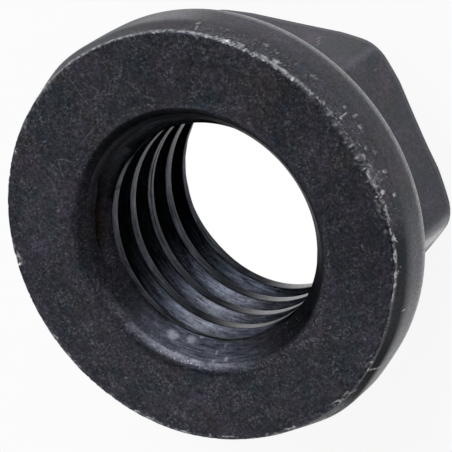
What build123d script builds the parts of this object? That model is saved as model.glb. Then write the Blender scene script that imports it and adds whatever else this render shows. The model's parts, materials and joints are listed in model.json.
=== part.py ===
from build123d import *
from build123d.topology import SkipClean
from math import radians, sqrt, tan
import os

# Hexagon flange nut with an M12 x 1.75 right-hand thread, forged and tapped as one piece.
# It stands on the end of its hexagon, with the wide plain bearing face on top. Z is the thread's
# axis, and the origin is below the centre of the flange, at the level of the hexagon's end. Two of
# the flats face +X and -X. As forged and drilled, the hexagon and the hole are a little off the centre
# of the flange.

# Hexagon
across_flats = 15.0
height = 9.85
corner_chamfer_angle = 30.0
corner_chamfer_diameter = 15.8
hexagon_off_centre = (-0.07, 0)

# Flange: a rim that tapers out from the bearing face, runs straight, and slopes back under the hexagon
face_diameter = 19.4
flange_diameter = 19.9
rim_taper_height = 1.2
rim_height = 3.1
back_slope = 20.0
rim_edge_radius = 0.2
rim_back_bevel = 0.15
taper_blend_radius = 2.0

# Thread: 60 degree profile, with a flat at the root of the groove
major_diameter = 12.0
minor_diameter = 10.2
pitch = 1.75
flank_angle = 30.0
root_flat = pitch / 8
groove_height_at_x = 1.3

# Mouths of the hole: a rounded lip on the bearing face, a plain countersink on the hexagon's end
lip_start_diameter = 13.04
lip_radius = 0.5
mouth_half_angle = 37.0
end_mouth_diameter = 12.4
end_mouth_half_angle = 45.0
hole_off_centre = (0.04, -0.15)

# The hole starts smaller than the thread, and is opened to the minor diameter one sector at a time
pilot_radius = 4.6
hole_sectors = 6

face_radius = face_diameter / 2
flange_radius = flange_diameter / 2
major_radius = major_diameter / 2
minor_radius = minor_diameter / 2
corner_radius = across_flats / sqrt(3)
rim_bottom = height - rim_height
beyond = 1.0


def turned(points, corner_radii):
    """Revolve a closed outline about Z. Each point is a radius and a height, rounded by its own radius."""
    outline = FilletPolyline(*points, radius=corner_radii, close=True)
    return revolve(make_face(Plane.XZ * outline), Axis.Z)


def flange():
    """The round flange: bearing face, rounded rim, and the back that slopes down under the hexagon."""
    back_radius = flange_radius - rim_back_bevel
    back_drop = back_radius * tan(radians(back_slope))
    return turned(
        [
            (0, height),
            (face_radius, height),
            (flange_radius, height - rim_taper_height),
            (flange_radius, rim_bottom + rim_back_bevel),
            (back_radius, rim_bottom),
            (0, rim_bottom - back_drop),
        ],
        [0, rim_edge_radius, taper_blend_radius, 0, 0, 0],
    )


def hexagon():
    """The hexagon, with the corners of its end chamfered."""
    chamfer_radius = corner_chamfer_diameter / 2
    outside = corner_radius + beyond
    chamfer_top = (outside - chamfer_radius) * tan(radians(corner_chamfer_angle))
    envelope = turned(
        [(0, 0), (chamfer_radius, 0), (outside, chamfer_top), (outside, rim_bottom), (0, rim_bottom)],
        [0, 0, 0, 0, 0],
    )
    bar = extrude(RegularPolygon(across_flats / 2, 6, major_radius=False, rotation=30), rim_bottom)
    return envelope & bar


def pilot_hole():
    """The pilot hole with both its mouths: the rounded lip at the top, the countersink at the bottom."""
    lip_turn = radians(90 - mouth_half_angle)
    lip_corner = lip_start_diameter / 2 - lip_radius * tan(lip_turn / 2)
    lip_depth = (lip_corner - pilot_radius) / tan(radians(mouth_half_angle))
    end_slope = tan(radians(end_mouth_half_angle))
    end_mouth_radius = end_mouth_diameter / 2
    end_depth = (end_mouth_radius - pilot_radius) / end_slope
    lip_outside = lip_start_diameter / 2 + beyond / 2
    return turned(
        [
            (0, -beyond),
            (end_mouth_radius + beyond * end_slope, -beyond),
            (pilot_radius, end_depth),
            (pilot_radius, height - lip_depth),
            (lip_corner, height),
            (lip_outside, height),
            (lip_outside, height + beyond),
            (0, height + beyond),
        ],
        [0, 0, 0, 0, lip_radius, 0, 0, 0],
    )


def hole_sector(index):
    """One sector of the hole at the thread's minor diameter."""
    arc = 360 / hole_sectors
    sector = Cylinder(minor_radius, height, arc_size=arc, align=(Align.NONE, Align.NONE, Align.MIN))
    return Rot(Z=arc * index) * sector


def groove_turn():
    """One turn of the thread's groove, on a right-hand helix. Its section narrows to the root flat."""
    inner_radius = (pilot_radius + minor_radius) / 2
    half_root = root_flat / 2
    half_mouth = half_root + (major_radius - inner_radius) * tan(radians(flank_angle))
    section = Polyline(
        (major_radius, -half_root),
        (major_radius, half_root),
        (inner_radius, half_mouth),
        (inner_radius, -half_mouth),
        close=True,
    )
    return sweep(make_face(Plane.XZ * section), Helix(pitch, pitch, major_radius), is_frenet=True)


def flange_nut():
    """The whole nut. The sectors and turns of the hole stay separate faces of its wall."""
    hole = Pos(*hole_off_centre)
    nut = flange() + Pos(*hexagon_off_centre) * hexagon() - hole * pilot_hole()
    turn = groove_turn()
    turn_count = round(height / pitch) + 1
    with SkipClean():
        for index in range(hole_sectors):
            nut = nut - hole * hole_sector(index)
        for index in range(turn_count):
            nut = nut - hole * Pos(Z=groove_height_at_x + pitch * (index - 1)) * turn
    return nut


os.makedirs("parts", exist_ok=True)
nut = flange_nut()
export_step(nut, "parts/flange_nut.step")
print("flange_nut:", len(nut.solids()), "solid,", len(nut.faces()), "faces,", round(nut.volume, 1), "mm3")
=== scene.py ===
import bpy
import json
import random
import numpy as np
from math import atan2, ceil, cos, pi, radians, sin, tan
from mathutils import Matrix, Vector, noise


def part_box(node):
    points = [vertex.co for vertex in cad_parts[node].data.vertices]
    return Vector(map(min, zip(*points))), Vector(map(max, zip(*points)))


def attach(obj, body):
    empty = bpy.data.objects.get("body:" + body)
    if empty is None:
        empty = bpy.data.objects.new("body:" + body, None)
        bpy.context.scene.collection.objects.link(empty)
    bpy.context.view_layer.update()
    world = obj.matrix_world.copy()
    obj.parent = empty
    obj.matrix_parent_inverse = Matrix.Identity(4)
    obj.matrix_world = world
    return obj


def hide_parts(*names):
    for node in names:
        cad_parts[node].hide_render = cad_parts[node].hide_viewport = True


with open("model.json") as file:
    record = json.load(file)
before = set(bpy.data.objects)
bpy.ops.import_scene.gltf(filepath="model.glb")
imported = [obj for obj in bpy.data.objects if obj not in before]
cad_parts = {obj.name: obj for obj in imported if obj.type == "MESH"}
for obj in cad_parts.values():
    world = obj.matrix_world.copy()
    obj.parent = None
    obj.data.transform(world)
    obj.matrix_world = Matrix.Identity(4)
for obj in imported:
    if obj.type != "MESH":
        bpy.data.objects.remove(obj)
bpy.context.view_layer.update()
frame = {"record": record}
mm = 0.001
print("frame loaded")


def direction(azimuth, elevation):
    # unit vector, from degrees
    a = radians(azimuth)
    e = radians(elevation)
    return Vector((cos(e) * cos(a), cos(e) * sin(a), sin(e)))


def hexColour(text):
    # sRGB hex to linear, with alpha
    channels = [int(text[i:i + 2], 16) / 255 for i in (1, 3, 5)]
    return [c / 12.92 if c <= 0.04045 else ((c + 0.055) / 1.055) ** 2.4 for c in channels] + [1.0]


def addObject(name, data):
    made = bpy.data.objects.new(name, data)
    bpy.context.scene.collection.objects.link(made)
    return made


def emptyTree(owner):
    # the node tree of a new material or world, with nothing in it
    owner.use_nodes = True
    owner.node_tree.nodes.clear()
    return owner.node_tree


def addNode(tree, kind, settings=None, **inputs):
    # kind is the type without its ShaderNode, settings are an operation or options by name, and inputs
    # are values, or sockets or nodes to link from
    node = tree.nodes.new("ShaderNode" + kind)
    if isinstance(settings, str):
        settings = {"operation": settings}
    for name, value in (settings or {}).items():
        setattr(node, name, value)
    for name, value in inputs.items():
        # i0, i1 and so on are inputs by their place in the list
        key = int(name[1:]) if name[0] == "i" and name[1:].isdigit() else name.replace("_", " ")
        if isinstance(value, bpy.types.Node):
            value = next(output for output in value.outputs if output.enabled)
        if isinstance(value, bpy.types.NodeSocket):
            tree.links.new(value, node.inputs[key])
        else:
            node.inputs[key].default_value = value
    return node


cameraValues = {
    "lens": 242.3,  # mm
    "target": (1.89, 0.19, 9.85),  # mm, on the bearing face
    "azimuth": 14.944,
    "elevation": 55.759,
    "roll": -126.527,
    "distance": 135.06,  # mm
    "clip": (0.005, 20.0),  # m
}


def makeCamera(v):
    towards = direction(v["azimuth"], v["elevation"])
    data = bpy.data.cameras.new("camera")
    data.lens = v["lens"]
    data.clip_start, data.clip_end = v["clip"]
    camera = addObject("camera", data)
    place = Matrix.Translation((Vector(v["target"]) + towards * v["distance"]) * mm)
    turn = (-towards).to_track_quat("-Z", "Y").to_matrix().to_4x4()
    camera.matrix_world = place @ turn @ Matrix.Rotation(radians(v["roll"]), 4, "Z")
    bpy.context.scene.camera = camera


makeCamera(cameraValues)
print("camera made")

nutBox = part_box("flange_nut")
nut = {  # mm and degrees; angles go round the flange from +X
    "height": nutBox[1][2] / mm,
    "flangeRadius": nutBox[1][0] / mm,
    "minorRadius": frame["record"]["mounts"][0]["dims"]["r_mm"],
    "hexagonOffCentre": (-0.07, 0.0),
    "holeOffCentre": (0.04, -0.15),
    "acrossFlats": 15.0,
    "hexEdgeRadii": (0.4, 1.4),  # corners between the flats, at the flange and softer at the end
    "hexBulges": [(-30, 28, 0.13), (30, 28, 0.03)],  # fuller corners: angle, spread, outwards
    "chamferRadius": 7.85,  # where the chamfer of the corners meets the end
    "chamferAngle": 33.0,
    "endBevel": 0.09,
    "faceRadius": 9.7,
    "taperHeight": 1.2,
    "taperBlend": 0.25,
    "rimHeight": 3.1,
    "rimBackBevel": 0.15,
    "backInset": 0.12,  # from the bevel of the rim to the first plain ring of the back
    "backSlope": 20.0,
    "rootFillet": 0.5,
    "lipStartRadius": 6.62,
    "lipRadius": 0.8,
    "mouthAngle": 37.0,
    "mouthShift": (0.12, 0.01),  # how far the countersink runs off the middle of the hole
    "endMouthRadius": 6.2,
    "endMouthBevel": (0.06, 0.045),  # outwards and up
    "majorRadius": 6.0,
    "pitch": 1.75,
    "flankAngle": 30.0,
    "rootFlat": 1.75 / 8,
    "grooveHeightAtX": 1.3,
    "crestRounding": 0.03,
    "crestBurr": 0.09,  # the tap left the lower edge of the crest this much wider
    "crestPlaces": (-0.13, -0.075, -0.025, 0.03),  # points along the crest, from its middle
    "hairlineTurn": 3,  # the turn with a dark lap mark along the middle of its crest
    "runOutHeights": (9.0, 9.25),  # between which the last groove fades into the mouth
    "runOutMiddle": (9.08, 0.14),  # height and soft stretch, where the groove's middle has faded
    "runOutShare": 0.8,
    "columns": 360,
    "fineFactor": 3,  # the flange's edge has this many times the columns
    "fineRadius": 9.0,  # and its finer grid starts here
    # wear of the edge and the rim
    "edgeRadius": 0.13,
    "softer": [(12, 30, 0.3), (-78, 34, 0.1)],  # angle, spread, extra radius
    # angle, spread, outwards: for the corner of the face, and for the rim
    "bulges": [(68, 22, 0.07), (-22, 15, 0.1), (10, 14, -0.1), (-100, 30, -0.06)],
    "rimBulges": [(-73, 17, 0.16), (110, 16, 0.14)],
    "roughness": 0.01,  # unevenness of the edge all round
    "rougher": [(17, 17, 0.035), (-150, 26, 0.022), (-27, 20, 0.02), (-60, 14, 0.02)],
    "grainPerMm": 7,
    "coarsePerMm": 2,
    "noiseRadius": 9.8,  # the noise is wrapped round the flange at this radius
    "deepest": 0.16,
    "smallNicks": 240,
    "chips": 90,  # more small nicks, over the most worn part of the taper
    "chipSpan": (-10, 60),
    "plainFace": -0.17,  # small nicks further in than this aren't rubbed bare
    "seed": 11,
    # nicks: angle, distance below the corner along the surface, half length, half width, depth,
    # share of bare steel, and the turn of the length away from the edge, if any
    "nicks": [
        (54, 0.12, 0.22, 0.12, 0.07, 1), (50, 0.2, 0.16, 0.14, 0.05, 0.5),
        (43, 0.16, 0.2, 0.12, 0.05, 0.6), (40, 0.3, 0.16, 0.14, 0.05, 0.7),
        (37, 0.12, 0.14, 0.1, 0.05, 0.9), (34, 0.06, 0.1, 0.08, 0.05, 0.8),
        (28, 0.08, 0.09, 0.07, 0.05, 0.6), (17, 0.04, 0.1, 0.05, 0.05, 0.8),
        (15, 0.02, 0.12, 0.07, 0.06, 0.6), (11, 0.07, 0.16, 0.12, 0.07, 0.4),
        (8, 0.05, 0.2, 0.14, 0.08, 0.4), (1, 0.15, 0.48, 0.28, 0.12, 0.3),
        (2, -0.02, 0.2, 0.06, 0.04, 1), (-1, 0.02, 0.24, 0.06, 0.04, 1),
        (-3, 0.1, 0.14, 0.12, 0.1, 0), (-4, 0.31, 0.09, 0.08, 0.04, 1),
        (-6, 0.98, 0.1, 0.05, 0.04, 1), (-7, -0.14, 0.3, 0.06, 0.05, 0.7),
        (-9, 0.22, 0.3, 0.04, 0.03, 0.8), (-14, 0.11, 0.1, 0.05, 0.04, 1),
        (-16, 0.2, 0.12, 0.1, 0.06, 0.9), (-21, 0.1, 0.22, 0.1, 0.09, 1),
        (-26, 0.12, 0.17, 0.1, 0.08, 1), (-29, 0.13, 0.15, 0.09, 0.05, 0.9),
        (-32, 0.09, 0.25, 0.04, 0.03, 0.8), (-38, 1.25, 0.05, 0.05, 0.03, 1),
        (-53, -0.02, 0.17, 0.09, 0.09, 1, 25), (-56, 0.67, 0.62, 0.04, 0.03, 0.8, 98),
        (-64, 0.33, 0.15, 0.06, 0.04, 0.6, 20), (-66, -0.05, 0.22, 0.04, 0.03, 0.8),
        (-69, -0.02, 0.3, 0.11, 0.1, 1, 12), (-75, 1.15, 0.12, 0.06, 0.04, 0.9),
        (-79, 0.74, 0.2, 0.05, 0.05, 1), (-86, -0.1, 0.32, 0.05, 0.05, 1),
        (-92, -0.03, 0.15, 0.05, 0.03, 0.6), (-106, -0.14, 0.4, 0.04, 0.03, 1),
        (-120, -0.08, 0.16, 0.05, 0.04, 1), (-131, -0.1, 0.14, 0.05, 0.04, 0.9),
        (-135, -0.12, 0.12, 0.06, 0.04, 1), (-144, -0.05, 0.16, 0.12, 0.08, 0.3),
        (-160, -0.02, 0.2, 0.08, 0.04, 0.2), (-167, -0.08, 0.13, 0.08, 0.06, 1),
        (169, -0.08, 0.33, 0.2, 0.13, 1), (137, -0.12, 0.14, 0.06, 0.04, 1),
        (18, 0.65, 0.28, 0.03, 0.03, 0.8, 85), (64, 0.6, 0.3, 0.03, 0.03, 0.8, 76),
        (64, 1.0, 0.17, 0.03, 0.03, 0.7, 150),
    ],
    # stretches of the corner rubbed bare: angle, spread, distance below the corner, half width, share
    "rubbed": [
        (67, 16, 0.1, 0.07, 1), (86, 14, 0.08, 0.07, 0.95), (101, 14, 0.05, 0.08, 0.8),
        (36, 9, 0.1, 0.1, 0.7), (119, 14, 0.02, 0.12, 0.8), (-27, 12, 0.12, 0.08, 0.4),
        (-128, 18, -0.1, 0.05, 0.6), (-165, 8, -0.1, 0.05, 0.4), (-88, 10, -0.02, 0.05, 0.5),
        (-74, 8, 0.5, 0.05, 0.4),
    ],
    # dull worn areas, given in the same way
    "dull": [(17, 24, 0.5, 0.6, 0.12), (-80, 22, 0.4, 0.5, 0.2), (-150, 30, 0.0, 0.2, 0.3)],
    # finish, painted shade and painted highlights in the hole: places are angle, spread, share, and a power
    # where they are blunt
    "likeCountersink": 8.4,  # from here up the last groove looks like the countersink round it
    "firstCrest": 7.5,  # from here up a crest is the first one
    # painted shade on the crests: a little all round, more by angle, less at -98 degrees
    "crestShade": 0.22,
    "crestShadeByAngle": [(-136, 40, 0.5), (180, 30, 0.25), (-98, 34, -0.22)],
    # painted highlight on the crests near -98 degrees, as bare steel
    "crestHighlight": [(-98, 30, 0.42)],
    # painted shade over the first crest, where its highlight ends, with a dark break in it
    "firstCrestShade": 0.95,
    "firstCrestSpan": (60, 117, 12),
    "firstCrestPlaces": [(139.5, 2.5, 0.7), (-174, 40, 0.7)],
    "hairline": [(142, 62, 1, 0.3)],
    # painted shade over the flanks, kept off where the lamps light them
    "flankShade": 0.7,
    "flankUnshaded": [(-118, 54, 0.7)],
    # painted highlight on the lit flanks, as bare steel
    "flankHighlight": [(-127, 26, 0.1)],
    "flankHighlightFrom": (3.3, 0.5),  # height, and the soft stretch above it
    # more painted shade lower in the hole, kept off near -118 degrees
    "lastTurnShade": 0.45,
    "lastTurnUnshaded": [(-118, 30, 0.8)],
    "lastTurnBelow": (3.7, 0.8),  # height, and the soft stretch below it
    # painted shade over the countersink, at three places round it
    "countersinkShade": [(-55, 52, 0.85), (95, 60, 0.25, 0.5), (175, 36, 0.4, 0.5)],
    "countersinkChips": [(-65, 40, 0.3, 0.5), (178, 40, 0.3, 0.5)],
    "countersinkDull": [(112, 34, 0.45)],
    "rust": [(155, 24, 0.6)],
    "rustHeights": (8.5, 0.15, 9.2, 0.1),  # from and to, each with its soft stretch
    "turned": 0.3,  # share of the turned finish in the countersink
    "moreTurned": [(-118, 50, 0.6), (178, 45, -0.25)],
    # painted highlight round the lower lip, as a strip of bare steel
    "lipHighlight": [(-130, 42, 0.32, 0.5)],
    "lipHighlightFrom": (9.5, 0.08),
    # painted glints in the lip's highlight, as bare specks
    "lipGlints": [(-124, 34, 0.36, 0.5)],
    "lipGlintsFrom": (9.45, 0.1),
}


def bell(angles, centre, spread):
    # 1 at the centre, 0 from the spread on
    away = np.abs((angles - radians(centre) + pi) % (2 * pi) - pi)
    return 0.5 + 0.5 * np.cos(pi * np.minimum(away / radians(spread), 1))


def bells(angles, places):
    # several bells added up, each given as angle, spread, share, and a power if it is blunt
    return sum(share * bell(angles, at, spread) ** (power[0] if power else 1)
               for at, spread, share, *power in places)


def smooth(t):
    t = np.clip(t, 0, 1)
    return t * t * (3 - 2 * t)


def span(angles, start, end, soft):
    # 1 between two angles, fading out over the soft stretch outside them
    a = (np.degrees(angles) + 180) % 360 - 180
    return smooth((a - start) / soft + 1) * smooth((end - a) / soft + 1)


def mouthRadiusAt(z, angles):
    # the countersink on the bearing face side, up to its rounded lip, from the middle of the hole
    turn = radians(nut["mouthAngle"])
    corner = nut["lipStartRadius"] - nut["lipRadius"] * tan((pi / 2 - turn) / 2)
    shift = nut["mouthShift"][0] * np.cos(angles) + nut["mouthShift"][1] * np.sin(angles)
    return corner - (nut["height"] - z) * tan(turn) + shift


def threadProfile():
    # one pitch of the wall: offsets along the axis from the middle of the groove, and radii
    major = nut["majorRadius"]
    minor = nut["minorRadius"]
    depth = major - minor
    slope = tan(radians(nut["flankAngle"]))
    halfRoot = nut["rootFlat"] / 2
    halfMouth = halfRoot + depth * slope
    halfPitch = nut["pitch"] / 2
    soft = nut["crestRounding"]
    root = [(halfRoot * 0.72, major - 0.004), (halfRoot + 0.02, major - 0.035)]  # a little rounded
    root += [(halfRoot + depth * slope * t, major - depth * t) for t in (0.33, 0.67)]
    edge = [(-soft * 0.9, minor + soft * 1.3), (soft * 0.1, minor + soft * 0.35), (soft * 1.2, minor)]
    lower = root + [(halfMouth + u, r) for u, r in edge]
    upper = root + [(halfMouth - nut["crestBurr"] + u, r) for u, r in edge]
    crest = [(halfPitch + place, minor) for place in nut["crestPlaces"]]
    return np.array([(-u, r) for u, r in reversed(lower)] + [(0.0, major)] + upper + crest)


class MeshRows:
    # collects rings of points and the faces between them, with the shares that the material reads at each
    # point: bare steel and painted highlights, dull wear, turned on a lathe, depth in the thread's groove,
    # painted shade with one dark lap mark, rust, and bare specks with painted glints
    markNames = ("bare", "dull", "turned", "groove", "sooty", "rust", "chipped")

    def __init__(self):
        self.points = []
        self.faces = []
        self.marks = {name: [] for name in self.markNames}

    def ring(self, points, **marks):
        first = len(self.points)
        self.points.extend(points)
        for name, values in self.marks.items():
            values.extend(np.broadcast_to(marks.get(name, 0.0), len(points)))
        return list(range(first, first + len(points)))

    def face(self, corners):
        kept = [c for i, c in enumerate(corners) if c != corners[i - 1]]
        if len(kept) > 2:
            self.faces.append(kept)

    def band(self, lower, upper):
        # quads between two rings of one count
        count = len(lower)
        for i in range(count):
            k = (i + 1) % count
            self.face([lower[i], lower[k], upper[k], upper[i]])

    def grow(self, last, points, **marks):
        # the next ring, joined to the last one
        current = self.ring(points, **marks)
        self.band(current, last)
        return current

    def stitch(self, coarse, fine, coarseBelow):
        # a ring joined to one with a whole multiple of its count
        factor = len(fine) // len(coarse)
        count, total = len(coarse), len(fine)
        middle = factor // 2
        for i in range(count):
            a, b = coarse[i], coarse[(i + 1) % count]
            run = [fine[(i * factor + k) % total] for k in range(factor + 1)]
            parts = [[a, run[k + 1], run[k]] for k in range(middle)]
            parts += [[a, b, run[middle + 1], run[middle]]]
            parts += [[b, run[k + 1], run[k]] for k in range(middle + 1, factor)]
            for part in parts:
                self.face(part if coarseBelow else part[::-1])


def evenAngles(count):
    return np.arange(count) * 2 * pi / count


def circlePoints(angles, radius, height, centre=(0.0, 0.0)):
    height = np.broadcast_to(height, angles.shape)
    return list(zip(centre[0] + radius * np.cos(angles), centre[1] + radius * np.sin(angles), height))


def between(first, second, share):
    return tuple(a + (b - a) * share for a, b in zip(first, second))


def lipShade(angles, t):
    # painted shade on the lip, which begins at 0 and ends in the face at 1
    right = 0.85 * bell(angles, -55, 52) * max(0, 1 - t * 2)
    below = 0.5 * bell(angles, -130, 60) * (0.4 < t < 0.7)
    left = 0.3 * bell(angles, 165, 38) * (0.3 < t < 0.95)
    above = bell(angles, 92, 58) ** 0.4 * (t < 0.55)
    return np.maximum(np.maximum(below + right, left), above)


def lipChipsAndGlints(angles, t):
    # chips on the outer lip, and painted glints in the highlight further in
    outside = 0.38 * span(angles, -92, -15, 14) * (0.3 < t < 0.95)
    inside = 0.42 * bell(angles, -124, 34) ** 0.5 * (t < 0.4)
    return np.maximum(outside, inside)


def mouthHighlight(angles):
    # painted highlight round the lip, as bare steel broken up by noise
    uneven = np.array([noise.noise((a * 12, 0, 0)) for a in angles])
    return bells(angles, nut["lipHighlight"]) * np.clip(0.8 + uneven, 0, 1.2)


def mouthTurned(angles):
    return nut["turned"] + bells(angles, nut["moreTurned"])


def threadMarks(hairline, angles, heights, radii, cone):
    # what the tap, the drill and the oxide left where in the hole, with painted shade, painted highlights
    # and painted glints
    def above(limit, soft):
        return smooth((heights - limit) / soft)

    def below(limit, soft):
        return smooth((limit - heights) / soft)

    cone = cone | (heights > nut["likeCountersink"])
    land = (radii < nut["minorRadius"] + 0.02) & ~cone
    flank = ~land & ~cone

    # painted shade on the crests
    landShade = nut["crestShade"] + bells(angles, nut["crestShadeByAngle"])
    # painted shade over the first crest, to end its highlight
    faded = span(angles, *nut["firstCrestSpan"]) + bells(angles, nut["firstCrestPlaces"])
    firstCrestShadeShare = nut["firstCrestShade"] * np.minimum(faded, 1) * (heights > nut["firstCrest"])
    # painted shade over the countersink
    coneShade = np.max([bells(angles, [place]) for place in nut["countersinkShade"]], axis=0)
    # painted shade over the flanks, more of it lower in the hole, kept off where the lamps light them
    lastTurn = nut["lastTurnShade"] * below(*nut["lastTurnBelow"]) * (1 - bells(angles, nut["lastTurnUnshaded"]))
    flankShade = np.minimum(nut["flankShade"] - bells(angles, nut["flankUnshaded"]) + lastTurn, 1)
    sooty = land * np.maximum(landShade, firstCrestShadeShare) + cone * coneShade + flank * np.maximum(flankShade, 0)
    if hairline:
        sooty = np.maximum(sooty, bells(angles, nut["hairline"]))

    # painted highlight at the top of the countersink, as bare steel
    coneHighlight = cone * mouthHighlight(angles) * above(*nut["lipHighlightFrom"])
    # painted highlight on the lit flanks, as bare steel
    flankHighlight = flank * bells(angles, nut["flankHighlight"]) * above(*nut["flankHighlightFrom"])
    # painted highlight on the crests, as bare steel
    landHighlight = land * bells(angles, nut["crestHighlight"])
    # painted glints in the lip's highlight, as bare specks
    lipGlints = cone * bells(angles, nut["lipGlints"]) * above(*nut["lipGlintsFrom"])
    rustFrom, rustSoft, rustTo, rustEnd = nut["rustHeights"]
    return {
        "sooty": sooty,
        "bare": coneHighlight + flankHighlight + landHighlight,
        "turned": np.where(cone, mouthTurned(angles), 1.0),
        "chipped": np.maximum(cone * bells(angles, nut["countersinkChips"]), lipGlints),
        "dull": cone * bells(angles, nut["countersinkDull"]),
        "rust": bells(angles, nut["rust"]) * above(rustFrom, rustSoft) * below(rustTo, rustEnd),
    }


def buildThread(rows, angles):
    # the wall of the hole as one helical grid, cut off by the two mouths; gives its lowest and highest ring
    count = len(angles)
    pitch = nut["pitch"]
    major = nut["majorRadius"]
    minor = nut["minorRadius"]
    centre = nut["holeOffCentre"]
    profile = threadProfile()
    perPitch = len(profile)
    hairlinePlaces = (perPitch - 3, perPitch - 2)
    bottom = nut["endMouthRadius"] - major
    top = nut["height"] - nut["lipRadius"] * (1 - sin(radians(nut["mouthAngle"])))
    gap = 0.03  # the grid ends this far inside both rings
    lowest = rows.ring(circlePoints(angles, major, bottom, centre), turned=1)
    highest = rows.ring(circlePoints(angles, mouthRadiusAt(top, angles), top, centre),
                        turned=mouthTurned(angles), bare=mouthHighlight(angles), sooty=lipShade(angles, 0))
    turnCount = ceil((top - bottom) / pitch) + 2
    firstHeight = nut["grooveHeightAtX"] - 2 * pitch
    runOutStart, runOutEnd = nut["runOutHeights"]
    fadedHeight, fadedSoft = nut["runOutMiddle"]
    ids = np.zeros((count, turnCount * perPitch), dtype=int)
    for k in range(turnCount * perPitch):
        turn, place = divmod(k, perPitch)
        offset, radius = profile[place]
        middle = firstHeight + turn * pitch + pitch * angles / (2 * pi)
        heights = middle + offset
        runOut = np.maximum(smooth((heights - runOutStart) / (runOutEnd - runOutStart)),
                            nut["runOutShare"] * smooth((middle - fadedHeight) / fadedSoft))
        cut = minor + (radius - minor) * (1 - runOut)
        mouths = np.maximum(mouthRadiusAt(heights, angles), nut["endMouthRadius"] - heights)
        radii = np.maximum(mouths, cut)
        depths = np.clip((radii - np.maximum(mouths, minor)) / (major - minor), 0, 1)
        ids[:, k] = np.where(heights < top - gap, lowest, highest)
        kept = np.flatnonzero((heights > bottom + gap) & (heights < top - gap))
        points = circlePoints(angles[kept], radii[kept], heights[kept], centre)
        hairline = turn == nut["hairlineTurn"] and place in hairlinePlaces
        cone = (mouths >= cut) & (heights > nut["height"] / 2)
        marks = threadMarks(hairline, angles, heights, radii, cone)
        ids[kept, k] = rows.ring(points, groove=depths[kept],
                                 **{name: values[kept] for name, values in marks.items()})
    rowCount = ids.shape[1]
    for j in range(count):
        for k in range(rowCount - 1):
            if j < count - 1:
                a, b = ids[j + 1, k], ids[j + 1, k + 1]
            else:  # the last column joins the first one a pitch higher
                a = ids[0, k + perPitch] if k + perPitch < rowCount else highest[0]
                b = ids[0, k + 1 + perPitch] if k + 1 + perPitch < rowCount else highest[0]
            rows.face([ids[j, k], ids[j, k + 1], b, a])
    return lowest, highest


def hexRadius(angles, share):
    # distance from the hexagon's middle to its side, from the flange, where share is 0, to the end
    apothem = nut["acrossFlats"] / 2
    atFlange, atEnd = nut["hexEdgeRadii"]
    soft = atFlange + (atEnd - atFlange) * share ** 3
    fromFlat = (angles + pi / 6) % (pi / 3) - pi / 6
    fromCorner = pi / 6 - np.abs(fromFlat)
    centre = (apothem - soft) / cos(pi / 6)
    flat = apothem / np.cos(fromFlat)
    inside = np.maximum(soft ** 2 - (centre * np.sin(fromCorner)) ** 2, 0)
    arc = centre * np.cos(fromCorner) + np.sqrt(inside)
    tangent = pi / 6 - atan2(centre * sin(pi / 6), apothem)
    return np.where(fromCorner < tangent, arc, flat) + bells(angles, nut["hexBulges"]) * share


def hexAngles(count):
    # columns crowd towards the hexagon's corners
    perSide = count // 6
    t = np.arange(count) % perSide / perSide * 2 - 1
    side = np.arange(count) // perSide
    eased = np.sign(t) * (1 - (1 - np.abs(t)) ** 1.9)
    return (side * 60 + 30 + eased * 30) * pi / 180


def edgeStations(angles):
    # the edge of the flange from the face down to the back of the rim, for every angle:
    # radius, height, normal, and distance along the surface from the corner
    height = nut["height"]
    taperEnd = height - nut["taperHeight"]
    flange = nut["flangeRadius"] + bells(angles, nut["rimBulges"])
    corner = nut["faceRadius"] + bells(angles, nut["bulges"])
    soft = nut["edgeRadius"] + bells(angles, nut["softer"])
    taper = np.arctan2(flange - corner, nut["taperHeight"])
    turn = pi / 2 - taper
    setBack = soft * np.tan(turn / 2)
    inner = nut["fineRadius"]
    stations = []
    # face
    for t in (0.0, 0.24, 0.44, 0.6, 0.72, 0.81, 0.88, 0.95):
        stations.append((inner + (corner - setBack - inner) * t, height, 0, 1))
    # rounded corner
    for t in (0.0, 0.25, 0.5, 0.75, 1.0):
        outR, outZ = np.sin(turn * t), np.cos(turn * t)
        stations.append((corner - setBack + soft * outR, height - soft + soft * outZ, outR, outZ))
    middle = len(stations) - 3  # half way round the corner
    # taper
    startRadius, startHeight = stations[-1][:2]
    blendStart = taperEnd + nut["taperBlend"]
    for t in (0.06, 0.12, 0.19, 0.27, 0.36, 0.46, 0.57, 0.69, 0.8, 0.87, 0.94, 1.0):
        z = startHeight + (blendStart - startHeight) * t
        stations.append((startRadius + (startHeight - z) * np.tan(taper), z, np.cos(taper), np.sin(taper)))
    stations.append((flange - 0.015, taperEnd, np.cos(taper / 2), np.sin(taper / 2)))
    # straight rim, and the bevel at its back
    rimBottom = height - nut["rimHeight"]
    bevel = nut["rimBackBevel"]
    straightTop = taperEnd - nut["taperBlend"]
    for t in (0.0, 0.25, 0.5, 0.75, 1.0):
        stations.append((flange, straightTop + (rimBottom + bevel - straightTop) * t, 1, 0))
    stations.append((flange - bevel * 0.12, rimBottom + bevel * 0.55, 0.9, -0.4))
    stations.append((flange - bevel * 0.5, rimBottom + bevel * 0.12, 0.7, -0.7))
    stations.append((flange - bevel, rimBottom - bevel * 0.1, 0.4, -0.9))
    columns = [np.array([np.broadcast_to(s[i], angles.shape) for s in stations]) for i in range(4)]
    radius, z, outR, outZ = columns
    steps = np.hypot(np.diff(radius, axis=0), np.diff(z, axis=0))
    run = np.vstack([np.zeros(angles.shape), np.cumsum(steps, axis=0)])
    return radius, z, outR, outZ, run - run[middle]


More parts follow.
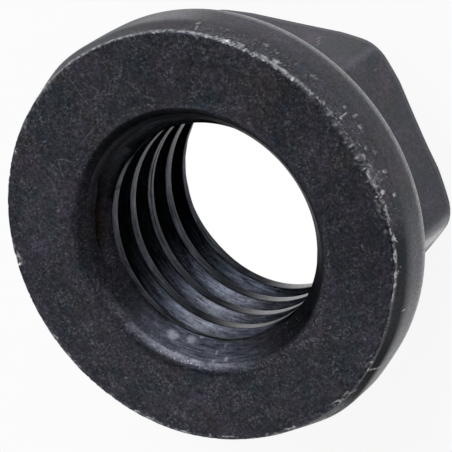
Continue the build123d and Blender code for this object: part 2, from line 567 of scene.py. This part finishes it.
def nickShare(angles, run, nick):
    # distance from the middle of a nick, 1 at its border
    angle, place, halfLength, halfWidth = nick[:4]
    turn = radians(nick[6]) if len(nick) > 6 else 0
    along = ((angles - radians(angle) + pi) % (2 * pi) - pi) * nut["faceRadius"]
    down = run - place
    u = (along * cos(turn) + down * sin(turn)) / halfLength
    v = (down * cos(turn) - along * sin(turn)) / halfWidth
    return np.sqrt(u * u + v * v)


def edgeNoise(angles, run, perMm):
    around = nut["noiseRadius"] * perMm
    columns = np.broadcast_to(angles, run.shape)
    return np.array([[noise.noise((around * cos(a), around * sin(a), s * perMm))
                      for a, s in zip(*row)] for row in zip(columns, run)])


def allNicks():
    # the larger nicks, then small ones and chips at random
    draw = random.Random(nut["seed"])
    nicks = list(nut["nicks"])
    for _ in range(nut["smallNicks"]):
        nicks.append((draw.uniform(-180, 180), draw.gauss(0.02, 0.1), draw.uniform(0.04, 0.12),
                      draw.uniform(0.03, 0.07), draw.uniform(0.008, 0.03),
                      draw.choice((0, 0.2, 0.4, 0.7)), draw.gauss(0, 20)))
    for _ in range(nut["chips"]):
        places = [draw.gauss(0.12, 0.12), draw.gauss(0.15, 0.2), draw.gauss(1.0, 0.06)]
        place = draw.choice(places + [draw.uniform(0, 1.1)])
        nicks.append((draw.uniform(*nut["chipSpan"]), place, draw.uniform(0.03, 0.12),
                      draw.uniform(0.02, 0.05), draw.uniform(0.01, 0.04), draw.choice((0, 0.2, 0.6)),
                      draw.uniform(-60, 60)))
    return nicks


def wornEdge(angles, run):
    # how deep the edge is worn in, and the shares of bare steel, of dull wear and of bare specks
    grain = edgeNoise(angles, run, nut["grainPerMm"])
    coarse = edgeNoise(angles, run, nut["coarsePerMm"])
    rough = nut["roughness"] + bells(angles, nut["rougher"])
    depth = rough * np.exp(-(run / 0.4) ** 2) * np.clip(grain + coarse * 0.8 + 0.25, 0, 1)
    bare = np.zeros(run.shape)
    for nick in allNicks():
        place, nickDepth, nickBare = nick[1], nick[4], nick[5]
        share = nickShare(angles, run, nick) * (1 + 0.9 * grain)
        depth = depth + nickDepth * np.clip(1 - share ** 2, 0, 1) ** 1.5
        if place > nut["plainFace"]:
            bare = np.maximum(bare, nickBare * np.clip((1.15 - share) * 4, 0, 1))
    for angle, spread, place, width, share in nut["rubbed"]:
        line = bell(angles, angle, spread) ** 0.5 * np.exp(-((run - place) / width) ** 2)
        bare = np.maximum(bare, share * line * np.clip(0.5 + grain * 2.2, 0, 1))
    dull = np.zeros(run.shape)
    for angle, spread, place, width, share in nut["dull"]:
        area = bell(angles, angle, spread) ** 0.5 * np.exp(-((run - place) / width) ** 4)
        dull = np.maximum(dull, share * area)
    # fine bare specks, most of them along both borders of the taper
    lines = 0.62 * np.exp(-((run - 0.1) / 0.14) ** 2) + 0.5 * np.exp(-((run - 1.0) / 0.1) ** 2)
    overTaper = 0.26 * (run > 0) * (run < 1.1)
    chipped = span(angles, *nut["chipSpan"], 12) * np.maximum(lines, overTaper)
    alongCorner = 0.45 * np.exp(-((run - 0.02) / 0.1) ** 2) * np.clip(0.6 + coarse, 0, 1)
    return np.minimum(depth, nut["deepest"]), bare, dull, np.maximum(chipped, alongCorner)


def rimMarks(angles, run, bare, chipped):
    # adds bare stretches to the rim, with painted sheen on the near side and painted highlights along the
    # back, painted shade on the taper, and speckled stretches
    onTaper = smooth((run - 0.12) / 0.2) * smooth((1.15 - run) / 0.2)
    onRim = smooth((run - 1.2) / 0.5)
    rear = smooth((run - 2.0) / 0.8)
    backHighlight = smooth((run - 2.62) / 0.2)
    # painted highlight along the bevel at the back, as bare steel
    bare[-3:] = np.maximum(bare[-3:], 0.3 + 0.5 * bell(angles, -10, 70))  # the bevel at the back
    # painted sheen on the near side of the rim and a painted highlight along its back, as bare steel
    nearSideSheen = 0.11 + 0.08 * rear + 0.12 * bell(angles, -52, 32)
    for rubbed in (
        onRim * span(angles, -66, -24, 22) * nearSideSheen,
        span(angles, -60, 58, 12) * (0.05 * rear + 0.55 * backHighlight),
        0.22 * bell(angles, 76, 16) * smooth((run - 1.15) / 0.3),
        0.22 * bell(angles, 118, 20) * smooth((run - 0.8) / 0.5),
    ):
        bare = np.maximum(bare, rubbed)
    for specks in (0.32 * onRim * span(angles, -70, -24, 20), 0.42 * onTaper * bell(angles, -77, 17) ** 0.5):
        chipped = np.maximum(chipped, specks)
    # painted shade on the taper
    nearShade = 0.62 * span(angles, -64, -20, 12) + 0.36 * bell(angles, -58, 24)
    farShade = 0.3 * span(angles, 70, 116, 10) + 0.45 * bell(angles, -77, 13)
    return bare, chipped, onTaper * np.maximum(nearShade, farShade)


def buildFace(rows, angles, highest, mouth):
    # rounded lip and the plain part of the bearing face
    height = nut["height"]
    lip = nut["lipRadius"]
    start = nut["lipStartRadius"]
    startTurn = radians(nut["mouthAngle"])
    last = highest
    for t in (0.17, 0.34, 0.5, 0.66, 0.83, 1.0):
        turn = startTurn + (pi / 2 - startTurn) * t
        radius = start - lip * cos(turn)
        points = circlePoints(angles, radius, height - lip + lip * sin(turn), mouth)
        # the lip carries painted shade, the painted highlight next to the countersink, and chips with
        # painted glints
        last = rows.grow(last, points, turned=mouthTurned(angles) * (1 - t), sooty=lipShade(angles, t),
                         bare=mouthHighlight(angles) * max(0, 1 - t / 0.25), chipped=lipChipsAndGlints(angles, t))
    for t in (0.04, 0.2, 0.45, 0.7, 0.9):
        radius = start + (nut["fineRadius"] - start) * t
        points = circlePoints(angles, radius, height, between(mouth, (0.0, 0.0), t))
        last = rows.grow(last, points)
    return last


def buildEdge(rows, angles, inner):
    # worn edge and rim, on a finer grid
    radius, z, outR, outZ, run = edgeStations(angles)
    depth, bare, dull, chipped = wornEdge(angles, run)
    radius = radius - outR * depth
    z = z - outZ * depth
    bare, chipped, sooty = rimMarks(angles, run, bare, chipped)
    marks = [dict(bare=b, dull=d, sooty=s, chipped=c) for b, d, s, c in zip(bare, dull, sooty, chipped)]
    last = rows.ring(circlePoints(angles, radius[0], z[0]), **marks[0])
    rows.stitch(inner, last, False)
    for k in range(1, len(radius)):
        last = rows.grow(last, circlePoints(angles, radius[k], z[k]), **marks[k])
    return last, z[-1][0]


def buildBack(rows, angles, sideAngles, rim, rimHeight):
    # back of the flange, with a small fillet where the hexagon stands on it
    hexagon = nut["hexagonOffCentre"]
    tilt = radians(nut["backSlope"])
    sideRadius = hexRadius(sideAngles, 0)
    backRadius = nut["flangeRadius"] - nut["rimBackBevel"] - nut["backInset"]
    backHeight = rimHeight - nut["backInset"] * tan(tilt)
    fillet = nut["rootFillet"]
    sideTop = backHeight - (backRadius - sideRadius) * tan(tilt)
    sideTop = sideTop - fillet * tan((pi / 2 - tilt) / 2)
    last = rows.ring(circlePoints(angles, backRadius, backHeight))
    rows.stitch(last, rim, True)
    filletRadius = sideRadius + fillet * (1 - sin(tilt))
    for share in (0.35, 0.7, 1.0):
        radius = backRadius + (filletRadius - backRadius) * share
        twist = angles + (sideAngles - angles) * share
        z = backHeight - (backRadius - radius) * tan(tilt)
        points = circlePoints(twist, radius, z, between((0.0, 0.0), hexagon, share))
        last = rows.grow(last, points)
    for t in (0.67, 0.33, 0.0):
        turn = (pi / 2 - tilt) * t
        radius = sideRadius + fillet * (1 - cos(turn))
        points = circlePoints(sideAngles, radius, sideTop + fillet * sin(turn), hexagon)
        last = rows.grow(last, points)
    return last, sideTop


def buildHexagon(rows, angles, sideAngles, root, sideTop, lowest):
    # sides, chamfered corners and end of the hexagon, to the countersink in the end
    hexagon = nut["hexagonOffCentre"]
    edge = nut["endBevel"]
    endSide = hexRadius(sideAngles, 1)
    sideEnd = np.maximum(endSide - nut["chamferRadius"], 0) * tan(radians(nut["chamferAngle"]))
    endRadius = np.minimum(endSide, nut["chamferRadius"])
    fromCorner = (sideAngles % (pi / 3)) - pi / 6
    cornerWear = 0.6 * np.exp(-(fromCorner / 0.02) ** 2)
    rubbed = 0.75 * bell(sideAngles, -37, 10)
    last = root
    for share in (0.2, 0.4, 0.6, 0.8, 0.93):
        z = sideTop + (sideEnd + edge - sideTop) * share
        points = circlePoints(sideAngles, hexRadius(sideAngles, share), z, hexagon)
        last = rows.grow(last, points, dull=cornerWear, bare=rubbed)
    # share of the chamfer, and of the small bevel before it
    for share, lift in ((0, 1), (0.02, 0.35), (0.1, 0.16), (0.5, 0.12), (1, 0.08)):
        radius = endSide - edge * (1 - lift) - (endSide - endRadius) * share
        points = circlePoints(sideAngles, radius, sideEnd * (1 - share) + edge * lift, hexagon)
        last = rows.grow(last, points, dull=0.4)
    hole = nut["holeOffCentre"]
    endRing = endRadius - edge * 2.2
    bevelOut, bevelUp = nut["endMouthBevel"]
    mouth = nut["endMouthRadius"] + bevelOut
    for share in (0.0, 0.5, 1.0):
        radius = endRing + (mouth - endRing) * share
        twist = sideAngles + (angles - sideAngles) * share
        last = rows.grow(last, circlePoints(twist, radius, 0.0, between(hexagon, hole, share)))
    last = rows.grow(last, circlePoints(angles, mouth - bevelOut - bevelUp, bevelUp, hole))
    rows.band(lowest, last)


def buildNut():
    rows = MeshRows()
    angles = evenAngles(nut["columns"])
    sideAngles = hexAngles(nut["columns"])
    mouth = tuple(h + m for h, m in zip(nut["holeOffCentre"], nut["mouthShift"]))
    lowest, highest = buildThread(rows, angles)
    face = buildFace(rows, angles, highest, mouth)
    rim, rimHeight = buildEdge(rows, evenAngles(nut["columns"] * nut["fineFactor"]), face)
    root, sideTop = buildBack(rows, angles, sideAngles, rim, rimHeight)
    buildHexagon(rows, angles, sideAngles, root, sideTop, lowest)
    return rows


def makeNut():
    rows = buildNut()
    mesh = bpy.data.meshes.new("flangeNut")
    mesh.from_pydata([(x * mm, y * mm, z * mm) for x, y, z in rows.points], [], rows.faces)
    for name, values in rows.marks.items():
        layer = mesh.attributes.new(name, "FLOAT", "POINT")
        layer.data.foreach_set("value", np.array(values, dtype=np.float32))
    mesh.validate()
    mesh.shade_smooth()
    triangles = sum(len(f) - 2 for f in rows.faces)
    print("nut made:", len(rows.points), "points,", triangles, "triangles")
    return addObject("flangeNut", mesh)


flangeNut = makeNut()
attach(flangeNut, "root")
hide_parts("flange_nut")


# black oxide on forged and turned steel: a thin dark magnetite skin, satin to matt, patchy where the
# scale of the forging was thicker, and rubbed through to grey steel on the edges
blackSteel = {
    "oxide": "#3C3C43",
    "blueGrey": "#3A4149",
    "violet": "#433E49",
    "brown": "#413B35",
    "turnedOxide": "#3A3C43",
    "grooveOxideAndShade": "#08090B",
    "soot": "#16191C",
    "rust": "#43302A",
    "dullSteel": "#66666E",
    "bareSteel": "#B6B6B8",
    "paleMark": "#8C8C90",
    "metallic": 0.8,
    "roughness": (0.47, 0.57),
    "bareRoughness": 0.3,
    "turnedRoughness": 0.32,
    "shadeSpecular": 0.35,  # painted shade keeps its darkness at low angles
    # noises: size in mm, detail, roughness, shift in mm
    "noises": {
        "patch": (1.6, 6.0, 0.65, 18.5),
        "brownPatch": (2.08, 5.0, 0.65, 37.0),
        "field": (1.6, 2.0, 0.5, 18.5),
        "curl": (1.5, 1.0, 0.5, 22.2),
        "blotch": (0.3, 3.0, 0.6, 22.2),
        "grain": (0.13, 4.0, 0.7, 18.5),  # the etched grain is 0.02 mm, drawn coarser so that it shows
        "tips": (0.11, 2.0, 0.5, 25.9),
        "chip": (0.11, 3.0, 0.7, 14.8),
        "rubbing": (0.9, 3.0, 0.6, 25.9),
    },
    "noiseRange": (0.3, 0.7),  # most of a noise lies in it
    "patchStops": (0.38, 0.5, 0.62),
    # from and to, and the shares there
    "brownFrom": (0.5, 0.68, 0.0, 0.55),
    "grooveFrom": (0.55, 1.0, 0.0, 0.6),
    "tipsFrom": (0.52, 0.78),
    "crowding": (0.38, 0.62, 0.12, 0.88),  # the pale specks stand closer in some places
    "chipFrom": (0.74, 0.88, 0.0, 0.7),
    "curlTo": (0.0, 0.01, 0.4, 0.0),
    "toolMark": 0.09,  # feed marks of 0.05 mm, drawn coarser so that they show
    "toolMarkTurns": 6.5,  # how fast they change round the hole
    "grainDepth": 0.009,
    "toolMarkDepth": 0.006,
    "faceFrom": (8.7, 9.6),  # heights between which the sides give way to the bearing face
    "sideContrast": 0.85,
    "turnedContrast": 0.5,
    # how far each noise, and the feed marks, darken and lighten
    "gains": {"field": (0.82, 1.18), "blotch": (0.6, 1.4), "grain": (0.35, 1.7), "feed": (0.15, 2.1)},
    "broken": (0.45, 1.4),  # how far the grain breaks up the wear
    "curlCrowding": 4.0,
    "chipMore": 0.5,
    # lighter and darker areas of the bearing face: place, half length, half width, turn, gain
    "areas": [
        (7.9, -2.2, 9.85, 3.2, 5.0, 0, 0.72), (7.6, 4.2, 9.85, 4.0, 3.4, 30, 0.8),
        (2.5, 7.5, 9.85, 3.5, 2.0, 0, 0.92), (-6.9, 3.2, 9.85, 1.6, 3.2, -20, 1.2),
        (-4.6, -6.4, 9.85, 3.5, 2.4, -35, 1.1), (-3.25, -4.75, 9.1, 0.45, 0.04, -39, 0.5),
    ],
    "areaEdge": 0.2,
    # marks: place, half length, width and height, turn, share
    "marks": [
        (-3.85, -4.0, 8.9, 0.32, 0.26, 0.26, -45, 0.6), (-3.1, -4.5, 8.75, 0.23, 0.2, 0.2, -38, 0.5),
        (-1.53, -5.23, 8.63, 0.09, 0.05, 0.4, 60, 0.4), (-1.92, -5.37, 8.98, 0.1, 0.05, 0.4, 60, 0.4),
        (-2.03, -5.61, 9.33, 0.07, 0.05, 0.4, 0, 0.4), (-1.42, -5.73, 9.22, 0.09, 0.07, 0.4, 0, 0.6),
        (-2.64, -4.58, 8.47, 0.12, 0.05, 0.4, -30, 0.4), (1.86, -5.26, 8.7, 0.05, 0.05, 0.4, 0, 0.4),
        (-6.58, -5.06, 9.85, 0.08, 0.06, 0.4, 0, 0.9), (-7.0, -5.52, 9.85, 0.06, 0.05, 0.4, 0, 0.6),
        (-4.81, 5.52, 9.85, 0.18, 0.035, 0.4, -10, 0.7), (-4.53, 5.38, 9.85, 0.16, 0.035, 0.4, -44, 0.7),
        (-5.04, 5.27, 9.85, 0.28, 0.03, 0.4, 78, 0.5), (-2.82, 6.17, 9.85, 0.85, 0.03, 0.4, 25, 0.35),
        (-2.4, 8.2, 9.85, 0.98, 0.025, 0.4, -77, 0.35), (7.92, -2.61, 9.85, 0.15, 0.035, 0.4, 80, 0.7),
        (-5.24, 6.55, 9.85, 0.15, 0.04, 0.4, -8, 0.5), (-6.52, -6.52, 9.85, 0.05, 0.04, 0.4, 0, 0.7),
        (-5.24, -7.69, 9.85, 0.05, 0.05, 0.4, 0, 0.7), (-2.02, -8.63, 9.85, 0.06, 0.04, 0.4, 0, 0.7),
        (-6.76, 1.34, 9.85, 0.05, 0.05, 0.4, 0, 0.8), (-6.71, -1.02, 9.85, 0.05, 0.05, 0.4, 0, 0.7),
        (1.96, -6.52, 9.85, 0.05, 0.04, 0.4, 0, 0.6), (3.98, -6.22, 9.85, 0.05, 0.04, 0.4, 0, 0.6),
        (5.5, 5.45, 2.2, 0.05, 0.2, 0.25, 150, 0.5), (5.35, 5.53, 1.85, 0.05, 0.2, 0.25, 150, 0.5),
        (5.2, 5.6, 1.45, 0.05, 0.2, 0.25, 150, 0.5), (7.43, 3.4, 1.75, 0.2, 0.04, 0.15, 0, 0.5),
    ],
    "markEdge": (0.6, 1.2),
}

# options that several nodes share
mixColours = {"data_type": "RGBA"}
mixValues = {"data_type": "FLOAT"}
smoothly = {"interpolation_type": "SMOOTHSTEP"}
beyond = {"clamp": False}


def ranged(fromMin, fromMax, toMin=0.0, toMax=1.0):
    # a map range node's inputs
    return {"From_Min": fromMin, "From_Max": fromMax, "To_Min": toMin, "To_Max": toMax}


def oxideColour(tree, noises, marks, v):
    # patches of the scale, with the turned finish, the painted shade and lap mark, and the rust over them
    colour = addNode(tree, "ValToRGB", Fac=noises["patch"])
    stops = colour.color_ramp.elements
    stops.new(0.5)
    for element, at, tint in zip(stops, v["patchStops"], ("blueGrey", "oxide", "violet")):
        element.position = at
        element.color = hexColour(v[tint])
    brown = addNode(tree, "MapRange", Value=noises["brownPatch"], **ranged(*v["brownFrom"]))
    shares = (brown, marks["turned"], marks["sooty"], marks["rust"])
    for share, tint in zip(shares, ("brown", "turnedOxide", "soot", "rust")):
        colour = addNode(tree, "Mix", mixColours, i0=share, i6=colour, i7=hexColour(v[tint]))
    return colour


def feedMarks(tree, axes, v):
    # feed marks of the lathe, in rings round the hole
    flat = addNode(tree, "CombineXYZ", X=axes["X"], Y=axes["Y"])
    distance = addNode(tree, "VectorMath", "LENGTH", i0=flat)
    outwards = addNode(tree, "VectorMath", "NORMALIZE", i0=flat)
    slow = addNode(tree, "VectorMath", "SCALE", i0=outwards, Scale=v["toolMarkTurns"])
    across = addNode(tree, "Math", "MULTIPLY", i0=distance, i1=1 / v["toolMark"])
    lengthwise = addNode(tree, "Math", "MULTIPLY", i0=axes["Z"], i1=1 / v["toolMark"])
    lifted = addNode(tree, "CombineXYZ", Z=across)
    ringPlace = addNode(tree, "VectorMath", "ADD", i0=slow, i1=lifted)
    return addNode(tree, "TexNoise", {"noise_dimensions": "4D"}, Vector=ringPlace, W=lengthwise, Scale=1.0,
                   Detail=2.0)


def lightAndDark(tree, sources, turned, onFace, v):
    # stronger on the bearing face than on the forged sides
    coarse = addNode(tree, "Mix", mixValues, i0=onFace, i2=v["sideContrast"], i3=1.0)
    coarse = addNode(tree, "Mix", mixValues, i0=turned, i2=coarse, i3=v["turnedContrast"])
    gain = 1.0
    for name, gains in v["gains"].items():
        share = turned if name == "feed" else coarse
        value = addNode(tree, "MapRange", beyond, Value=sources[name], **ranged(*v["noiseRange"], *gains))
        value = addNode(tree, "Mix", mixValues, i0=share, i2=1.0, i3=value)
        gain = addNode(tree, "Math", "MULTIPLY", i0=gain, i1=value)
    return gain


def awayFromOval(tree, place, at, halves, turn):
    # distance from the middle of an oval, 1 at its border
    oval = addNode(tree, "Mapping", {"vector_type": "TEXTURE"}, Vector=place, Location=at,
                   Rotation=(0, 0, radians(turn)), Scale=halves)
    return addNode(tree, "VectorMath", "LENGTH", i0=oval)


def makeBlackenedSteel(v):
    material = bpy.data.materials.new("blackOxideForgedSteel")
    tree = emptyTree(material)
    place = addNode(tree, "TexCoord").outputs["Object"]
    place = addNode(tree, "VectorMath", "SCALE", i0=place, Scale=1 / mm)
    noises = {}
    for name, (size, detail, rough, shift) in v["noises"].items():
        moved = addNode(tree, "VectorMath", "ADD", i0=place, i1=(shift, 0, 0))
        noises[name] = addNode(tree, "TexNoise", Vector=moved, Scale=1 / size, Detail=detail,
                               Roughness=rough)
    marks = {}
    for name in MeshRows.markNames:
        marks[name] = addNode(tree, "Attribute", {"attribute_name": name}).outputs["Fac"]
    centre = (*nut["holeOffCentre"], 0.0)
    fromAxis = addNode(tree, "VectorMath", "SUBTRACT", i0=place, i1=centre)
    axes = addNode(tree, "SeparateXYZ", Vector=fromAxis).outputs
    feed = feedMarks(tree, axes, v)
    onFace = addNode(tree, "MapRange", Value=axes["Z"], **ranged(*v["faceFrom"]))
    gain = lightAndDark(tree, {**noises, "feed": feed}, marks["turned"], onFace, v)
    colour = oxideColour(tree, noises, marks, v)
    colour = addNode(tree, "VectorMath", "SCALE", i0=colour, Scale=gain)

    # dark grooves: darker oxide and painted shade deep in the roots
    deep = addNode(tree, "MapRange", smoothly, Value=marks["groove"], **ranged(*v["grooveFrom"]))
    colour = addNode(tree, "Mix", mixColours, i0=deep, i6=colour, i7=hexColour(v["grooveOxideAndShade"]))

    # pale specks of the grain, partly painted glints off its tips, more of them in some places, and none in
    # the grooves or the painted shade
    tips = addNode(tree, "MapRange", Value=noises["tips"], **ranged(*v["tipsFrom"]))
    crowd = addNode(tree, "MapRange", Value=noises["rubbing"], **ranged(*v["crowding"]))
    plain = addNode(tree, "Math", "SUBTRACT", i0=1.0, i1=marks["turned"])
    clear = addNode(tree, "Math", {"operation": "SUBTRACT", "use_clamp": True}, i0=onFace, i1=marks["sooty"])
    for share in (crowd, plain, clear):
        tips = addNode(tree, "Math", "MULTIPLY", i0=tips, i1=share)
    colour = addNode(tree, "Mix", mixColours, i0=tips, i6=colour, i7=hexColour(v["paleMark"]))

    # lighter and darker areas
    lighter = 1.0
    for *at, halfLength, halfWidth, turn, more in v["areas"]:
        away = awayFromOval(tree, place, at, (halfLength, halfWidth, 1.0), turn)
        value = addNode(tree, "MapRange", smoothly, Value=away, **ranged(v["areaEdge"], 1.0, more, 1.0))
        lighter = addNode(tree, "Math", "MULTIPLY", i0=lighter, i1=value)
    colour = addNode(tree, "VectorMath", "SCALE", i0=colour, Scale=lighter)

    # fine curling scratches where the face is more rubbed, and the pale marks
    pale = addNode(tree, "Math", "SUBTRACT", i0=noises["curl"], i1=0.5)
    pale = addNode(tree, "Math", "ABSOLUTE", i0=pale)
    pale = addNode(tree, "MapRange", Value=pale, **ranged(*v["curlTo"]))
    rubbed = addNode(tree, "Math", "POWER", i0=crowd, i1=v["curlCrowding"])
    for share in (rubbed, clear):
        pale = addNode(tree, "Math", "MULTIPLY", i0=pale, i1=share)
    for *at, halfLength, halfWidth, halfHeight, turn, share in v["marks"]:
        away = awayFromOval(tree, place, at, (halfLength, halfWidth, halfHeight), turn)
        value = addNode(tree, "MapRange", Value=away, **ranged(*v["markEdge"], share, 0.0))
        pale = addNode(tree, "Math", "MAXIMUM", i0=pale, i1=value)

    # the more chipped or glinting, the more of the fine noise reaches the bare steel
    chips = addNode(tree, "Math", "MULTIPLY_ADD", i0=marks["chipped"], i1=v["chipMore"], i2=noises["chip"])
    chips = addNode(tree, "MapRange", Value=chips, **ranged(*v["chipFrom"]))

    # dull wear, pale marks, and bare steel with the painted highlights, each broken up by the grain
    broken = addNode(tree, "MapRange", beyond, Value=noises["grain"],
                     **ranged(*v["noiseRange"], *v["broken"]))
    clamped = {"operation": "MULTIPLY", "use_clamp": True}
    dull, pale, bare = (addNode(tree, "Math", clamped, i0=share, i1=broken)
                        for share in (marks["dull"], pale, marks["bare"]))
    bare = addNode(tree, "Math", "MAXIMUM", i0=bare, i1=chips)
    for share, tint in ((dull, "dullSteel"), (pale, "paleMark"), (bare, "bareSteel")):
        colour = addNode(tree, "Mix", mixColours, i0=share, i6=colour, i7=hexColour(v[tint]))

    # gloss, and relief of the grain and the feed marks
    gloss = addNode(tree, "MapRange", beyond, Value=noises["blotch"],
                    **ranged(*v["noiseRange"], *v["roughness"]))
    for share, value in ((marks["turned"], v["turnedRoughness"]), (bare, v["bareRoughness"])):
        gloss = addNode(tree, "Mix", mixValues, i0=share, i2=gloss, i3=value)
    machined = addNode(tree, "Math", "MAXIMUM", i0=bare, i1=marks["turned"])
    metal = addNode(tree, "Mix", mixValues, i0=machined, i2=v["metallic"], i3=1.0)
    # the painted shade also cuts the edge reflection
    edgeTint = addNode(tree, "Mix", mixColours, i0=marks["sooty"], i6=(1, 1, 1, 1),
                       i7=(*[v["shadeSpecular"]] * 3, 1))
    feedHeight = addNode(tree, "Math", "MULTIPLY", i0=feed, i1=marks["turned"])
    bump = addNode(tree, "Bump", Strength=1.0, Distance=v["toolMarkDepth"] * mm, Height=feedHeight)
    bump = addNode(tree, "Bump", Strength=1.0, Distance=v["grainDepth"] * mm, Height=noises["grain"],
                   Normal=bump)
    shader = addNode(tree, "BsdfPrincipled", Base_Color=colour, Metallic=metal, Roughness=gloss,
                     Specular_Tint=edgeTint, Normal=bump)
    addNode(tree, "OutputMaterial", Surface=shader)
    return material


flangeNut.data.materials.append(makeBlackenedSteel(blackSteel))
print("materials made")

stage = {
    "floorColour": "#F4F4F4",
    "floorSize": 1.2,  # m
    "floorGlow": 0.9,  # share of the floor that is plain white, so that the shadow stays light
    "holeView": (6.3, 6.6),  # mm, where the plain white floor seen through the hole ends
    "ambient": 0.25,  # world light on matt surfaces
    "ceiling": 0.05,  # world seen in the metal, above the white backdrop
    "backdropTop": (0.06, 0.2),  # sines of the elevations between which the backdrop ends
    # softboxes: azimuth, elevation, distance in m, size in m, radiance with white as 1, colour
    "softboxes": {
        "keySoftbox": (88, 22, 0.45, (0.7, 0.36), 1.9, (0.95, 0.98, 1.06)),
        "stripSoftbox": (68, 50, 0.5, (0.3, 0.22), 4.2, (0.94, 0.98, 1.08)),
        "fillSoftbox": (213, 42, 0.5, (0.42, 0.4), 0.85, (0.97, 0.98, 1.04)),
    },
}


def lightPath(tree):
    # whether the camera sees it, and whether it is seen in a reflection or through something clear
    path = addNode(tree, "LightPath")
    reflected = addNode(tree, "Math", "MAXIMUM", i0=path.outputs["Is Glossy Ray"],
                        i1=path.outputs["Is Transmission Ray"])
    return path.outputs["Is Camera Ray"], reflected.outputs[0]


def makeFloor(v):
    half = v["floorSize"] / 2
    mesh = bpy.data.meshes.new("floor")
    corners = [(-half, -half, 0), (half, -half, 0), (half, half, 0), (-half, half, 0)]
    mesh.from_pydata(corners, [], [(0, 1, 2, 3)])
    floor = addObject("floor", mesh)
    material = bpy.data.materials.new("paleFloor")
    tree = emptyTree(material)
    diffuse = addNode(tree, "BsdfDiffuse", Color=hexColour(v["floorColour"]))
    white = addNode(tree, "Emission", Strength=1.0)
    away = addNode(tree, "VectorMath", "LENGTH", i0=addNode(tree, "TexCoord").outputs["Object"])
    start, end = v["holeView"]
    glow = addNode(tree, "MapRange", Value=away, **ranged(start * mm, end * mm, 1.0, v["floorGlow"]))
    seen = addNode(tree, "MixShader", i0=glow, i1=diffuse, i2=white)
    camera, reflected = lightPath(tree)
    both = addNode(tree, "MixShader", i0=camera, i1=diffuse, i2=seen)
    both = addNode(tree, "MixShader", i0=reflected, i1=both, i2=white)
    addNode(tree, "OutputMaterial", Surface=both)
    mesh.materials.append(material)


def makeWorld(v):
    world = bpy.data.worlds.new("studio")
    bpy.context.scene.world = world
    tree = emptyTree(world)
    towards = addNode(tree, "TexCoord").outputs["Generated"]
    height = addNode(tree, "SeparateXYZ", Vector=towards).outputs["Z"]
    backdrop = addNode(tree, "MapRange", smoothly, Value=height,
                       **ranged(*v["backdropTop"], 1.0, v["ceiling"]))
    camera, reflected = lightPath(tree)
    strength = addNode(tree, "Mix", mixValues, i0=reflected, i2=v["ambient"], i3=backdrop)
    strength = addNode(tree, "Mix", mixValues, i0=camera, i2=strength, i3=1.0)
    background = addNode(tree, "Background", Color=(1, 1, 1, 1), Strength=strength)
    addNode(tree, "OutputWorld", Surface=background)


def makeSoftbox(name, azimuth, elevation, distance, size, radiance, colour):
    data = bpy.data.lights.new(name, "AREA")
    data.shape = "RECTANGLE"
    data.size, data.size_y = size
    data.energy = radiance * pi * size[0] * size[1]
    data.color = colour
    towards = direction(azimuth, elevation)
    turn = towards.to_track_quat("Z", "Y").to_matrix().to_4x4()
    addObject(name, data).matrix_world = Matrix.Translation(towards * distance) @ turn


makeFloor(stage)
makeWorld(stage)
for name, values in stage["softboxes"].items():
    makeSoftbox(name, *values)
bpy.context.scene.view_settings.view_transform = "Standard"
print("stage made")
